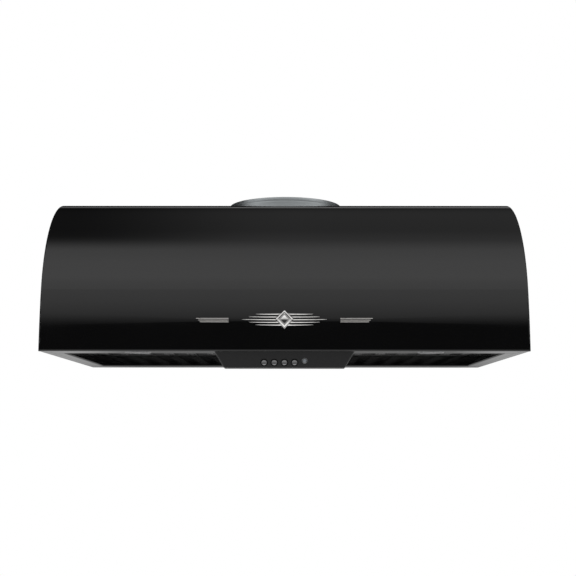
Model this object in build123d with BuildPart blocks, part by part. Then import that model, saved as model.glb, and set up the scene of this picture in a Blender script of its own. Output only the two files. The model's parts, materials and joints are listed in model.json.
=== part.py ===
from build123d import *

import os
from math import acos, asin, cos, degrees, hypot, radians, sin, sqrt

# An under-cabinet range hood, in millimetres. X runs to the right as seen by the cook, +Y runs to
# the wall and +Z up. The origin is on top of the hood, on the axis of the duct, which is also the
# centre of the four cabinet screws. Every sheet part is folded from flat sheet.

os.makedirs("parts", exist_ok=True)

# ------------------------------------------------------------------------------ driving sizes

WIDTH = 760.0  # outside, along X
DEPTH = 500.0  # front lip to wall
HEIGHT = 262.0  # rim to top
DUCT_TO_WALL = 180.0  # duct axis to the wall

SHEET = 1.2  # painted canopy sheet
BEND = 2.5  # outer radius of a canopy fold
FOLD = 12.0  # width of a canopy return
SEAM = 0.3  # gap at a butt seam

SKIRT_R = 669.0  # radius of the nearly upright lower front
SKIRT_TURN = 8.3  # degrees that the lower front leans back before the brow starts

FRONT_STRIP = 57.0  # rim width in front of the filters
REAR_STRIP = 54.0  # rim width behind them
SIDE_STRIP = 30.0  # rim width beside them
RECESS = 20.0  # how far the filters sit above the rim
RAIL_HEIGHT = 36.0  # upright wall of a rail
RAIL_BEND = 1.8  # outer radius of a rail fold
LEDGE = 8.0  # lip of a rail above the filter's edge

DUCT_R = 101.6  # outside of the eight-inch collar
DUCT_SHEET = 1.0
COLLAR_RISE = 23.5
COLLAR_FLANGE = 12.0
DUCT_HOLE_R = 98.0

CABINET_X = 310.0  # cabinet screw pattern, half spacings
CABINET_Y = 100.0
CABINET_HOLE_R = 3.0
WIRE_X = 225.0  # electrical knockout
WIRE_Y = 134.0
WIRE_HOLE_R = 11.1

SCREW_R = 2.0  # M4 pan head
SCREW_HOLE_R = 2.05
SCREW_HEAD_R = 3.7
SCREW_HEAD = 2.2

# ------------------------------------------------------------------------- worked-out places

HALF = WIDTH / 2
FRONT_Y = DUCT_TO_WALL - DEPTH
BACK_Y = DUCT_TO_WALL
RIM_Z = -HEIGHT
LEAN = radians(SKIRT_TURN)
BROW_R = (HEIGHT - SKIRT_R * sin(LEAN)) / (1 - sin(LEAN))
SKIRT_CENTRE_Y = FRONT_Y + SKIRT_R
CREST_Y = SKIRT_CENTRE_Y - (SKIRT_R - BROW_R) * cos(LEAN)
RECESS_FRONT_Y = FRONT_Y + FRONT_STRIP
RECESS_BACK_Y = BACK_Y - REAR_STRIP
RECESS_X = HALF - SIDE_STRIP
PLATE_X = HALF - SHEET  # outer face of the end panels
RIM_IN_X = PLATE_X - FOLD - SEAM  # outer edge of the rails' strips
RIM_IN_Y = FRONT_Y + FOLD + SEAM
BACK_IN_Y = BACK_Y - SHEET - 0.2  # just inside the back panel


def save(builder, name):
    """Label the finished piece and write it."""
    builder.part.label = name
    export_step(builder.part, f"parts/{name}.step")


def front_y(height, inset=0.0):
    """Return Y of the lower front at a height above the rim."""
    return SKIRT_CENTRE_Y - sqrt((SKIRT_R - inset) ** 2 - height**2)


def side_outline(inset, back_y, floor_z):
    """Draw the hood's side outline, its front and top moved inward, closed at back_y and floor_z."""
    lift = floor_z - RIM_Z
    start = degrees(asin(lift / (SKIRT_R - inset)))
    CenterArc((SKIRT_CENTRE_Y, RIM_Z), SKIRT_R - inset, 180 - start, start - SKIRT_TURN)
    CenterArc((CREST_Y, -BROW_R), BROW_R - inset, 180 - SKIRT_TURN, SKIRT_TURN - 90)
    corners = [(CREST_Y, -inset), (back_y, -inset), (back_y, floor_z), (front_y(lift, inset), floor_z)]
    if back_y == CREST_Y:
        corners.pop(0)
    Polyline(*corners)


# ------------------------------------------------------------------------------ canopy shell

# The space inside the front panel, with the inner radius of every fold on its edges.
with BuildPart() as front_space:
    with BuildSketch(Plane.YZ):
        with BuildLine():
            side_outline(SHEET, CREST_Y + 5, RIM_Z + SHEET)
        make_face()
    extrude(amount=PLATE_X, both=True)
    inner_bends = front_space.edges().filter_by(GeomType.CIRCLE)
    inner_bends += front_space.edges().filter_by(Axis.X).group_by(Axis.Z)[0].sort_by(Axis.Y)[:1]
    fillet(inner_bends, BEND - SHEET)

# What is cut right through the ends and the rim, leaving the returns.
with BuildPart() as front_opening:
    with BuildSketch(Plane.YZ):
        with BuildLine():
            side_outline(FOLD, CREST_Y + 5, RIM_Z - 5)
        make_face()
    extrude(amount=HALF + 5, both=True)

SEAM_TAB = 15.0  # tab of the front panel under the top panel
SEAM_Y = CREST_Y + 8  # screws of that seam
SEAM_X = (-330, -110, 110, 330)

BADGE_Z = 49.0  # heights of the ornaments above the rim
TRIM_Z = 47.8
BADGE_STUD_X = (-8, 8)
TRIM_STUD_X = (-130, -94, 94, 130)
STUD_R = 1.5
STUD_HOLE_R = 1.8

with BuildPart() as front_panel:
    with BuildSketch(Plane.YZ):
        with BuildLine():
            side_outline(0, CREST_Y, RIM_Z)
        make_face()
    extrude(amount=HALF, both=True)
    bends = front_panel.edges().filter_by(GeomType.CIRCLE)
    bends += front_panel.edges().filter_by(Axis.X).group_by(Axis.Z)[0].sort_by(Axis.Y)[:1]
    fillet(bends, BEND)
    add(front_space.part, mode=Mode.SUBTRACT)
    add(front_opening.part, mode=Mode.SUBTRACT)
    with BuildSketch(Plane.XY.offset(-2 * SHEET)):
        with Locations((0, CREST_Y + (SEAM_TAB - 7) / 2)):
            Rectangle(WIDTH - 8, SEAM_TAB + 7)
    extrude(amount=SHEET)
    with BuildSketch(Plane.XY):
        with Locations(*[(x, SEAM_Y) for x in SEAM_X]):
            Circle(SCREW_HOLE_R)
    extrude(amount=-5, mode=Mode.SUBTRACT)
    with BuildSketch(Plane.XZ.offset(-FRONT_Y - 10)):
        with Locations(*[(x, RIM_Z + BADGE_Z) for x in BADGE_STUD_X]):
            Circle(STUD_HOLE_R)
        with Locations(*[(x, RIM_Z + TRIM_Z) for x in TRIM_STUD_X]):
            Circle(STUD_HOLE_R)
    extrude(amount=20, mode=Mode.SUBTRACT)
save(front_panel, "front_panel")

BLOWER_SCREWS = [(x, y) for x in (-104, 104) for y in (-96, 96)]
COLLAR_SCREW_R = DUCT_R + COLLAR_FLANGE / 2
COLLAR_SCREWS = [
    (COLLAR_SCREW_R * cos(radians(a)), COLLAR_SCREW_R * sin(radians(a))) for a in (45, 135, 225, 315)
]
BACK_SCREWS = [(x, BACK_Y - 7) for x in (-330, -110, 110, 330)]
SEAM_SCREWS = [(x, SEAM_Y) for x in SEAM_X]
BOX_SCREWS = [(WIRE_X - 36, WIRE_Y - 20), (WIRE_X + 36, WIRE_Y - 20)]
DRIVER_X = -225.0  # lamp driver, under the top panel
DRIVER_Y = 130.0
DRIVER_SCREWS = [(DRIVER_X - 50, DRIVER_Y), (DRIVER_X + 50, DRIVER_Y)]

with BuildPart() as top_panel:
    with BuildSketch(Plane.XZ.offset(-CREST_Y)):
        with BuildLine():
            FilletPolyline((-HALF, -FOLD), (-HALF, 0), (HALF, 0), (HALF, -FOLD), radius=BEND)
            offset(amount=SHEET, side=Side.RIGHT)
        make_face()
    extrude(amount=CREST_Y - BACK_Y)
    with BuildSketch(Plane.XY):
        Circle(DUCT_HOLE_R)
        with GridLocations(2 * CABINET_X, 2 * CABINET_Y, 2, 2):
            Circle(CABINET_HOLE_R)
        with Locations((WIRE_X, WIRE_Y)):
            Circle(WIRE_HOLE_R)
        with Locations(*BLOWER_SCREWS, *COLLAR_SCREWS, *BACK_SCREWS, *SEAM_SCREWS):
            Circle(SCREW_HOLE_R)
        with Locations(*BOX_SCREWS, *DRIVER_SCREWS):
            Circle(SCREW_HOLE_R)
    extrude(amount=-5, mode=Mode.SUBTRACT)
save(top_panel, "top_panel")

with BuildPart() as back_panel:
    with BuildSketch(Plane.YZ):
        with BuildLine():
            FilletPolyline((BACK_Y, RIM_Z), (BACK_Y, -SHEET), (BACK_Y - FOLD, -SHEET), radius=RAIL_BEND)
            offset(amount=SHEET, side=Side.LEFT)
        make_face()
    extrude(amount=PLATE_X - 3, both=True)
    with BuildSketch(Plane.XY):
        with Locations(*BACK_SCREWS):
            Circle(SCREW_HOLE_R)
    extrude(amount=-5, mode=Mode.SUBTRACT)
save(back_panel, "back_panel")


def end_panel(side):
    """Make the flat end of the hood, lapped inside the returns, with its own return at the rim."""
    with BuildPart() as plate:
        with BuildSketch(Plane.YZ.offset(side * PLATE_X)):
            with BuildLine():
                side_outline(BEND + 0.3, BACK_IN_Y, RIM_Z)
            make_face()
        extrude(amount=-side * SHEET)
        with BuildSketch(Plane.XZ.offset(-RIM_IN_Y)):
            with BuildLine():
                FilletPolyline(
                    (side * PLATE_X, RIM_Z + 8),
                    (side * PLATE_X, RIM_Z),
                    (side * (PLATE_X - FOLD), RIM_Z),
                    radius=RAIL_BEND,
                )
                offset(amount=SHEET, side=Side.RIGHT if side > 0 else Side.LEFT)
            make_face()
        extrude(amount=RIM_IN_Y - BACK_IN_Y)
        with BuildSketch(Plane.XY.offset(RIM_Z - 1)):
            with Locations((side * HALF, FRONT_Y)):
                Rectangle(40, 2 * (FOLD + SEAM))
        extrude(amount=1 + SHEET + 0.1, mode=Mode.SUBTRACT)
    return plate


for end_name, end_side in (("left_end_panel", -1), ("right_end_panel", 1)):
    save(end_panel(end_side), end_name)


# ------------------------------------------------------------------------------- rim and rails

FILTER_GAP = 2.0  # beside and in front of a closed filter
CENTRE_RAIL_X = 7.0
CENTRE_RAIL_DROP = 4.0  # below the filters' underside
FILTER_Z = RIM_Z + RECESS
FILTER_T = 14.0
FILTER_BACK_GAP = 1.5
PIVOT_INSET = 5.0  # hinge pin from the filter's rear edge
PIVOT_LIFT = 3.2  # and above its underside
PIVOT_Y = RECESS_BACK_Y - FILTER_BACK_GAP - PIVOT_INSET
PIVOT_Z = FILTER_Z + PIVOT_LIFT
PIN_R = 2.0
PIN_HOLE_R = 2.05
RAIL_TOP_Z = RIM_Z + RAIL_HEIGHT

LAMP_X = 230.0
LAMP_Y = (RIM_IN_Y + RECESS_FRONT_Y) / 2
LAMP_R = 17.5  # body of the lamp puck
LAMP_HOLE_R = 17.8
LAMP_BEZEL_R = 20.5
LAMP_PROUD = 0.8  # bezel below the rim
LAMP_DEPTH = 16.0
LAMP_LENS_R = 14.0

POD_SCREWS = [(-84, FRONT_Y + 39), (84, FRONT_Y + 39)]
WIRE_SLOT_W = 40.0  # where the switch leads pass through the front rail
WIRE_SLOT_D = 14.0

with BuildPart() as front_rail:
    with BuildSketch(Plane.YZ):
        with BuildLine():
            FilletPolyline(
                (RIM_IN_Y, RIM_Z),
                (RECESS_FRONT_Y, RIM_Z),
                (RECESS_FRONT_Y, RAIL_TOP_Z),
                (RECESS_FRONT_Y + LEDGE, RAIL_TOP_Z),
                radius=(RAIL_BEND, RAIL_BEND - SHEET),
            )
            offset(amount=SHEET, side=Side.LEFT)
        make_face()
    extrude(amount=RIM_IN_X, both=True)
    with BuildSketch(Plane.XY.offset(RIM_Z - 1)):
        with Locations((-LAMP_X, LAMP_Y), (LAMP_X, LAMP_Y)):
            Circle(LAMP_HOLE_R)
        with Locations(*POD_SCREWS):
            Circle(SCREW_HOLE_R)
        with Locations((0, LAMP_Y)):
            RectangleRounded(WIRE_SLOT_W, WIRE_SLOT_D, 5)
    extrude(amount=5, mode=Mode.SUBTRACT)
save(front_rail, "front_rail")

with BuildPart() as rear_rail:
    with BuildSketch(Plane.YZ):
        with BuildLine():
            FilletPolyline(
                (RECESS_BACK_Y, RAIL_TOP_Z),
                (RECESS_BACK_Y, RIM_Z),
                (BACK_IN_Y, RIM_Z),
                (BACK_IN_Y, RIM_Z + FOLD),
                radius=RAIL_BEND,
            )
            offset(amount=SHEET, side=Side.LEFT)
        make_face()
    extrude(amount=RIM_IN_X, both=True)
save(rear_rail, "rear_rail")


def side_rail(side):
    """Make the rail beside a filter, with the hole for the filter's outer hinge pin."""
    with BuildPart() as rail:
        with BuildSketch(Plane.XZ.offset(-(RECESS_FRONT_Y + SEAM))):
            with BuildLine():
                FilletPolyline(
                    (side * RIM_IN_X, RIM_Z),
                    (side * RECESS_X, RIM_Z),
                    (side * RECESS_X, RAIL_TOP_Z),
                    (side * (RECESS_X - LEDGE), RAIL_TOP_Z),
                    radius=(RAIL_BEND, RAIL_BEND - SHEET),
                )
                offset(amount=SHEET, side=Side.RIGHT if side > 0 else Side.LEFT)
            make_face()
        extrude(amount=RECESS_FRONT_Y - RECESS_BACK_Y + 2 * SEAM)
        with BuildSketch(Plane.XY.offset(RAIL_TOP_Z - 5)):
            with Locations((side * RECESS_X, RECESS_FRONT_Y)):
                Rectangle(2 * LEDGE + 1, 2 * LEDGE + 1)
        extrude(amount=10, mode=Mode.SUBTRACT)
        with BuildSketch(Plane.YZ):
            with Locations((PIVOT_Y, PIVOT_Z)):
                Circle(PIN_HOLE_R)
        extrude(amount=side * HALF, mode=Mode.SUBTRACT)
    return rail


for rail_name, rail_side in (("left_side_rail", -1), ("right_side_rail", 1)):
    save(side_rail(rail_side), rail_name)

with BuildPart() as centre_rail:
    with BuildSketch(Plane.XZ.offset(-(RECESS_FRONT_Y + SEAM))):
        with BuildLine():
            FilletPolyline(
                (-CENTRE_RAIL_X, RAIL_TOP_Z),
                (-CENTRE_RAIL_X, FILTER_Z - CENTRE_RAIL_DROP),
                (CENTRE_RAIL_X, FILTER_Z - CENTRE_RAIL_DROP),
                (CENTRE_RAIL_X, RAIL_TOP_Z),
                radius=RAIL_BEND,
            )
            offset(amount=SHEET, side=Side.LEFT)
        make_face()
    extrude(amount=RECESS_FRONT_Y - RECESS_BACK_Y + 2 * SEAM)
    with BuildSketch(Plane.XY.offset(RAIL_TOP_Z - 5)):
        with Locations((0, RECESS_FRONT_Y)):
            Rectangle(4 * CENTRE_RAIL_X, 2 * LEDGE + 1)
    extrude(amount=10, mode=Mode.SUBTRACT)
    with BuildSketch(Plane.YZ):
        with Locations((PIVOT_Y, PIVOT_Z)):
            Circle(PIN_HOLE_R)
    extrude(amount=20, both=True, mode=Mode.SUBTRACT)
save(centre_rail, "centre_rail")

# ------------------------------------------------------------------------------------- lamps


def lamp(side):
    """Make one lamp puck: its body with a bezel below the rim, and its lens."""
    with BuildPart() as housing:
        with BuildSketch(Plane.XY.offset(RIM_Z)):
            with Locations((side * LAMP_X, LAMP_Y)):
                Circle(LAMP_BEZEL_R)
        extrude(amount=-LAMP_PROUD)
        with BuildSketch(Plane.XY.offset(RIM_Z)):
            with Locations((side * LAMP_X, LAMP_Y)):
                Circle(LAMP_R)
        extrude(amount=LAMP_DEPTH)
        with BuildSketch(Plane.XY.offset(RIM_Z - LAMP_PROUD)):
            with Locations((side * LAMP_X, LAMP_Y)):
                Circle(LAMP_LENS_R)
        extrude(amount=LAMP_DEPTH - 2, mode=Mode.SUBTRACT)
    with BuildPart() as lens:
        with BuildSketch(Plane.XY.offset(RIM_Z - LAMP_PROUD + 0.2)):
            with Locations((side * LAMP_X, LAMP_Y)):
                Circle(LAMP_LENS_R)
        extrude(amount=2)
    return housing, lens


for lamp_name, lamp_side in (("left_lamp", -1), ("right_lamp", 1)):
    lamp_housing, lamp_lens = lamp(lamp_side)
    save(lamp_housing, lamp_name + "_housing")
    save(lamp_lens, lamp_name + "_lens")

# ----------------------------------------------------------------------------------- controls

POD_DROP = 25.0  # pod below the rim
POD_TOP_X = 109.0
POD_FOOT_X = 94.0
POD_TOP_Y = (FRONT_Y + 8, FRONT_Y + 55.5)
POD_FOOT_Y = (FRONT_Y + 16, FRONT_Y + 48)
POD_WALL = 2.0
BUTTON_PITCH = 15.7
BUTTON_X = [BUTTON_PITCH * (i - 2) for i in range(4)]
BUTTON_DROP = 16.8  # button row below the rim
BUTTON_HOLE_R = 5.9
BUTTON_R = 4.25
BUTTON_TRAVEL = 3.0
STEM_R = 2.4
STEM_HOLE_R = 2.45
LED_X = 2 * BUTTON_PITCH
LED_LIFT = 2.6
LED_HOLE_R = 4.9
LED_R = 3.0
BOSS_R = 4.0
BLOCK_X = 45.0  # half length of the switch block
BLOCK_FRONT = 7.0  # distances behind the pod's face
BLOCK_BACK = 19.0
BLOCK_SCREWS = ((4 - BLOCK_X, 0), (BLOCK_X - 4, 0))
BLOCK_SCREW_R = 1.3
BLOCK_BOSS_R = 3.2

face_lean = (POD_FOOT_Y[0] - POD_TOP_Y[0]) / POD_DROP
face_run = hypot(1, face_lean)
POD_FACE = Plane(
    origin=(0, POD_TOP_Y[0] + BUTTON_DROP * face_lean, RIM_Z - BUTTON_DROP),
    x_dir=(1, 0, 0),
    z_dir=(0, -1 / face_run, -face_lean / face_run),
)


def pod_block(inset, top_z, floor_z):
    """Loft the pod's tapered block, moved inward by inset, between two levels."""
    for level in (top_z, floor_z):
        share = (RIM_Z - level) / POD_DROP
        half_x = POD_TOP_X + share * (POD_FOOT_X - POD_TOP_X) - inset
        front = POD_TOP_Y[0] + share * (POD_FOOT_Y[0] - POD_TOP_Y[0]) + inset
        back = POD_TOP_Y[1] + share * (POD_FOOT_Y[1] - POD_TOP_Y[1]) - inset
        with BuildSketch(Plane.XY.offset(level)) as outline:
            with Locations((0, (front + back) / 2)):
                Rectangle(2 * half_x, back - front)
        yield outline.sketch


with BuildPart() as pod_space:
    loft(list(pod_block(POD_WALL, RIM_Z, RIM_Z - POD_DROP + POD_WALL)))

with BuildPart() as control_housing:
    loft(list(pod_block(0, RIM_Z, RIM_Z - POD_DROP)))
    pod_edges = control_housing.edges().filter_by(lambda e: abs(e.tangent_at(0.5).Z) > 0.5)
    fillet(pod_edges, 3)
    fillet(control_housing.faces().sort_by(Axis.Z)[0].edges(), 1.2)
    add(pod_space.part, mode=Mode.SUBTRACT)
    with BuildSketch(Plane.XY.offset(RIM_Z - 0.2)):
        with Locations(*POD_SCREWS):
            Circle(BOSS_R)
    extrude(amount=1.2 - POD_DROP)
    with BuildSketch(Plane.XY.offset(RIM_Z)):
        with Locations(*POD_SCREWS):
            Circle(SCREW_HOLE_R)
    extrude(amount=-12, mode=Mode.SUBTRACT)
    with BuildSketch(POD_FACE):
        with Locations(*BLOCK_SCREWS):
            Circle(BLOCK_BOSS_R)
    extrude(amount=-BLOCK_FRONT)
    with BuildSketch(POD_FACE.offset(1)):
        with Locations(*[(x, 0) for x in BUTTON_X]):
            Circle(BUTTON_HOLE_R)
        with Locations((LED_X, LED_LIFT)):
            Circle(LED_HOLE_R)
    extrude(amount=-4, mode=Mode.SUBTRACT)
    with BuildSketch(POD_FACE.offset(-POD_WALL)):
        with Locations(*BLOCK_SCREWS):
            Circle(BLOCK_SCREW_R)
    extrude(amount=-6, mode=Mode.SUBTRACT)
save(control_housing, "control_housing")

with BuildPart() as switch_block:
    with BuildSketch(POD_FACE.offset(-BLOCK_FRONT)):
        with Locations((0, 0.5)):
            Rectangle(2 * BLOCK_X, 13)
    extrude(amount=BLOCK_FRONT - BLOCK_BACK)
    with BuildSketch(POD_FACE.offset(-BLOCK_FRONT)):
        with Locations(*[(x, 0) for x in BUTTON_X]):
            Circle(STEM_HOLE_R)
    extrude(amount=-10, mode=Mode.SUBTRACT)
    with BuildSketch(POD_FACE.offset(-BLOCK_FRONT)):
        with Locations(*BLOCK_SCREWS):
            Circle(BLOCK_SCREW_R)
    extrude(amount=-20, mode=Mode.SUBTRACT)
save(switch_block, "switch_block")

with BuildPart() as switch_screws:
    with BuildSketch(POD_FACE.offset(-BLOCK_BACK)):
        with Locations(*BLOCK_SCREWS):
            Circle(2 * BLOCK_SCREW_R)
    extrude(amount=-1.5)
    with BuildSketch(POD_FACE.offset(-BLOCK_BACK)):
        with Locations(*BLOCK_SCREWS):
            Circle(BLOCK_SCREW_R)
    extrude(amount=BLOCK_BACK - POD_WALL - 1)
save(switch_screws, "switch_screws")

for name, x in zip(("fan_off", "fan_low", "fan_high", "light"), BUTTON_X):
    with BuildPart() as button:
        with BuildSketch(POD_FACE.offset(-3)):
            with Locations((x, 0)):
                Circle(BUTTON_R)
        extrude(amount=4.2)
        fillet(button.edges().filter_by(GeomType.CIRCLE).sort_by(Axis.Y)[:1], 1.6)
        with BuildSketch(POD_FACE.offset(-2)):
            with Locations((x, 0)):
                Circle(STEM_R)
        extrude(amount=-10)
    save(button, name + "_button")

with BuildPart() as indicator_bezel:
    with BuildSketch(POD_FACE.offset(-3)):
        with Locations((LED_X, LED_LIFT)):
            Circle(LED_HOLE_R - 0.1)
            Circle(LED_R, mode=Mode.SUBTRACT)
    extrude(amount=2.6)
save(indicator_bezel, "indicator_bezel")

with BuildPart() as indicator_lens:
    with BuildSketch(POD_FACE.offset(-6)):
        with Locations((LED_X, LED_LIFT)):
            Circle(LED_R - 0.05)
    extrude(amount=6.4)
    fillet(indicator_lens.edges().filter_by(GeomType.CIRCLE).sort_by(Axis.Y)[:1], 1.5)
save(indicator_lens, "indicator_lens")

# ---------------------------------------------------------------------------- duct and dampers

ROD_Z = 8.0
ROD_R = 2.0
FLAP_R = 98.6
FLAP_T = 0.8
COLLAR_BEND = 1.2
KNUCKLE_R = 3.0
KNUCKLE_HOLE_R = 2.05
FLAP_START = 3.8  # straight edge of a flap from the rod's axis
KNUCKLE_LENGTH = 26.0
FRONT_KNUCKLES_X = (-68, 36)
REAR_KNUCKLES_X = (-36, 68)

with BuildPart() as duct_collar:
    with BuildSketch(Plane.XZ):
        with BuildLine():
            FilletPolyline(
                (DUCT_R + COLLAR_FLANGE, 0),
                (DUCT_R - DUCT_SHEET, 0),
                (DUCT_R - DUCT_SHEET, COLLAR_RISE),
                radius=COLLAR_BEND,
            )
            offset(amount=DUCT_SHEET, side=Side.RIGHT)
        make_face()
    revolve(axis=Axis.Z)
    with BuildSketch(Plane.XY):
        with Locations(*COLLAR_SCREWS):
            Circle(SCREW_HOLE_R)
    extrude(amount=3, mode=Mode.SUBTRACT)
    with BuildSketch(Plane.YZ):
        with Locations((0, ROD_Z)):
            Circle(ROD_R)
    extrude(amount=2 * DUCT_R, both=True, mode=Mode.SUBTRACT)
save(duct_collar, "duct_collar")

with BuildPart() as damper_rod:
    with BuildSketch(Plane.YZ):
        with Locations((0, ROD_Z)):
            Circle(ROD_R)
    extrude(amount=DUCT_R - 0.1, both=True)
save(damper_rod, "damper_rod")


def damper_flap(side, knuckles):
    """Make a half-round flap on the side of the rod, with its own rolled knuckles around the rod."""
    with BuildPart() as flap:
        with BuildSketch(Plane.XY.offset(ROD_Z - FLAP_T / 2)):
            Circle(FLAP_R)
            with Locations((0, side * (FLAP_START - FLAP_R))):
                Rectangle(2 * FLAP_R, 2 * FLAP_R, mode=Mode.SUBTRACT)
            with Locations(*[(x, side * (FLAP_START + KNUCKLE_HOLE_R + 0.3) / 2) for x in knuckles]):
                Rectangle(KNUCKLE_LENGTH, FLAP_START - KNUCKLE_HOLE_R + 0.3)
        extrude(amount=FLAP_T)
        for x in knuckles:
            with BuildSketch(Plane.YZ.offset(x - KNUCKLE_LENGTH / 2)):
                with Locations((0, ROD_Z)):
                    Circle(KNUCKLE_R)
            extrude(amount=KNUCKLE_LENGTH)
        with BuildSketch(Plane.YZ):
            with Locations((0, ROD_Z)):
                Circle(KNUCKLE_HOLE_R)
        extrude(amount=DUCT_R, both=True, mode=Mode.SUBTRACT)
    return flap


save(damper_flap(-1, FRONT_KNUCKLES_X), "front_damper_flap")
save(damper_flap(1, REAR_KNUCKLES_X), "rear_damper_flap")

# ------------------------------------------------------------------------------------- blower

OUTLET_X = 150.0  # inside of the blower's outlet
OUTLET_Y = 125.0
PLATE_X_SIZE = 224.0
PLATE_Y_SIZE = 206.0
GASKET_T = 3.0
SCROLL_SHEET = 1.0
SCROLL_STEP = 8.0  # growth of the scroll's radius per quarter turn
SCROLL_R = 80.0  # first radius
SCROLL_Y = -OUTLET_Y / 2 + SCROLL_R + 3 * SCROLL_STEP  # centre of the first arc
SCROLL_Z = -128.0
WHEEL_Y = SCROLL_Y - SCROLL_STEP / 2
WHEEL_Z = SCROLL_Z + SCROLL_STEP / 2
WHEEL_R = 73.0
WHEEL_HALF = 66.0  # half length of the impeller
BLADE_IN_R = 58.0
BLADES = 36
INLET_R = 60.0
SHAFT_R = 4.0
MOTOR_R = 45.0
MOTOR_START = OUTLET_X / 2 + 11
MOTOR_LENGTH = 78.0
GASKET_TOP = -SHEET
PLATE_TOP = GASKET_TOP - GASKET_T
BRACKET_FOOT_R = 70.0

with BuildPart() as outlet_gasket:
    with BuildSketch(Plane.XY.offset(GASKET_TOP)):
        Rectangle(PLATE_X_SIZE, PLATE_Y_SIZE)
        Circle(DUCT_HOLE_R + 1, mode=Mode.SUBTRACT)
        with Locations(*BLOWER_SCREWS, *COLLAR_SCREWS):
            Circle(SCREW_HOLE_R, mode=Mode.SUBTRACT)
    extrude(amount=-GASKET_T)
save(outlet_gasket, "outlet_gasket")


def scroll_outline(grow, top_z):
    """Draw the scroll in side view: outlet walls and three quarter arcs, all moved outward by grow."""
    rear_wall = OUTLET_Y / 2 + grow
    radius = SCROLL_R + grow
    tongue = degrees(acos((rear_wall - SCROLL_Y) / radius))
    front_wall = SCROLL_Y - radius - 3 * SCROLL_STEP
    CenterArc((SCROLL_Y, SCROLL_Z), radius, tongue, -tongue)
    CenterArc((SCROLL_Y - SCROLL_STEP, SCROLL_Z), radius + SCROLL_STEP, 0, -90)
    CenterArc((SCROLL_Y - SCROLL_STEP, SCROLL_Z + SCROLL_STEP), radius + 2 * SCROLL_STEP, -90, -90)
    Polyline(
        (front_wall, SCROLL_Z + SCROLL_STEP),
        (front_wall, top_z),
        (rear_wall, top_z),
        (rear_wall, SCROLL_Z + radius * sin(radians(tongue))),
    )


with BuildPart() as blower_scroll:
    with BuildSketch(Plane.YZ):
        with BuildLine():
            scroll_outline(SCROLL_SHEET, PLATE_TOP)
        make_face()
    extrude(amount=OUTLET_X / 2, both=True)
    with BuildSketch(Plane.XY.offset(PLATE_TOP)):
        Rectangle(PLATE_X_SIZE, PLATE_Y_SIZE)
        with Locations(*BLOWER_SCREWS, *COLLAR_SCREWS):
            Circle(SCREW_HOLE_R, mode=Mode.SUBTRACT)
    extrude(amount=-SHEET)
    with BuildSketch(Plane.YZ):
        with BuildLine():
            scroll_outline(0, PLATE_TOP + 1)
        make_face()
    extrude(amount=OUTLET_X / 2, both=True, mode=Mode.SUBTRACT)
save(blower_scroll, "blower_scroll")


def blower_side(side):
    """Make one side plate of the blower, with its rolled inlet ring."""
    with BuildPart() as plate:
        with BuildSketch(Plane.YZ.offset(side * OUTLET_X / 2)):
            with BuildLine():
                scroll_outline(SCROLL_SHEET, PLATE_TOP - SHEET)
            make_face()
            with Locations((WHEEL_Y, WHEEL_Z)):
                Circle(INLET_R, mode=Mode.SUBTRACT)
        extrude(amount=side * SCROLL_SHEET)
        with BuildSketch(Plane.YZ.offset(side * OUTLET_X / 2)):
            with Locations((WHEEL_Y, WHEEL_Z)):
                Circle(INLET_R + SCROLL_SHEET)
                Circle(INLET_R, mode=Mode.SUBTRACT)
        extrude(amount=-side * 5)
    return plate


save(blower_side(-1), "left_blower_side")
save(blower_side(1), "right_blower_side")

with BuildPart() as impeller:
    with BuildSketch(Plane.YZ):
        with Locations((WHEEL_Y, WHEEL_Z)):
            with PolarLocations((BLADE_IN_R + WHEEL_R) / 2, BLADES):
                Rectangle(WHEEL_R - BLADE_IN_R - 1, 0.8, rotation=28)
    extrude(amount=WHEEL_HALF, both=True)
    with BuildSketch(Plane.YZ):
        with Locations((WHEEL_Y, WHEEL_Z)):
            Circle(WHEEL_R)
    extrude(amount=0.8, both=True)
    for start in (-WHEEL_HALF, WHEEL_HALF - 2):
        with BuildSketch(Plane.YZ.offset(start)):
            with Locations((WHEEL_Y, WHEEL_Z)):
                Circle(WHEEL_R)
                Circle(WHEEL_R - 4, mode=Mode.SUBTRACT)
        extrude(amount=2)
    with BuildSketch(Plane.YZ):
        with Locations((WHEEL_Y, WHEEL_Z)):
            Circle(11)
    extrude(amount=14, both=True)
    with BuildSketch(Plane.YZ):
        with Locations((WHEEL_Y, WHEEL_Z)):
            Circle(SHAFT_R)
    extrude(amount=20, both=True, mode=Mode.SUBTRACT)
save(impeller, "impeller")

with BuildPart() as motor_shaft:
    with BuildSketch(Plane.YZ.offset(-18)):
        with Locations((WHEEL_Y, WHEEL_Z)):
            Circle(SHAFT_R)
    extrude(amount=18 + MOTOR_START + 30)
save(motor_shaft, "motor_shaft")

with BuildPart() as motor:
    with BuildSketch(Plane.YZ.offset(MOTOR_START)):
        with Locations((WHEEL_Y, WHEEL_Z)):
            Circle(MOTOR_R)
    extrude(amount=MOTOR_LENGTH)
    fillet(motor.edges().filter_by(GeomType.CIRCLE), 5)
    with BuildSketch(Plane.YZ.offset(MOTOR_START + MOTOR_LENGTH / 2 - 3)):
        with Locations((WHEEL_Y, WHEEL_Z)):
            Circle(MOTOR_R + 3)
    extrude(amount=6)
    with BuildSketch(Plane.YZ.offset(MOTOR_START)):
        with Locations((WHEEL_Y, WHEEL_Z)):
            Circle(SHAFT_R + 0.05)
    extrude(amount=31, mode=Mode.SUBTRACT)
save(motor, "motor")

BRACKET_X = MOTOR_START - 1.5  # outer face of the bracket's ring

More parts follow.
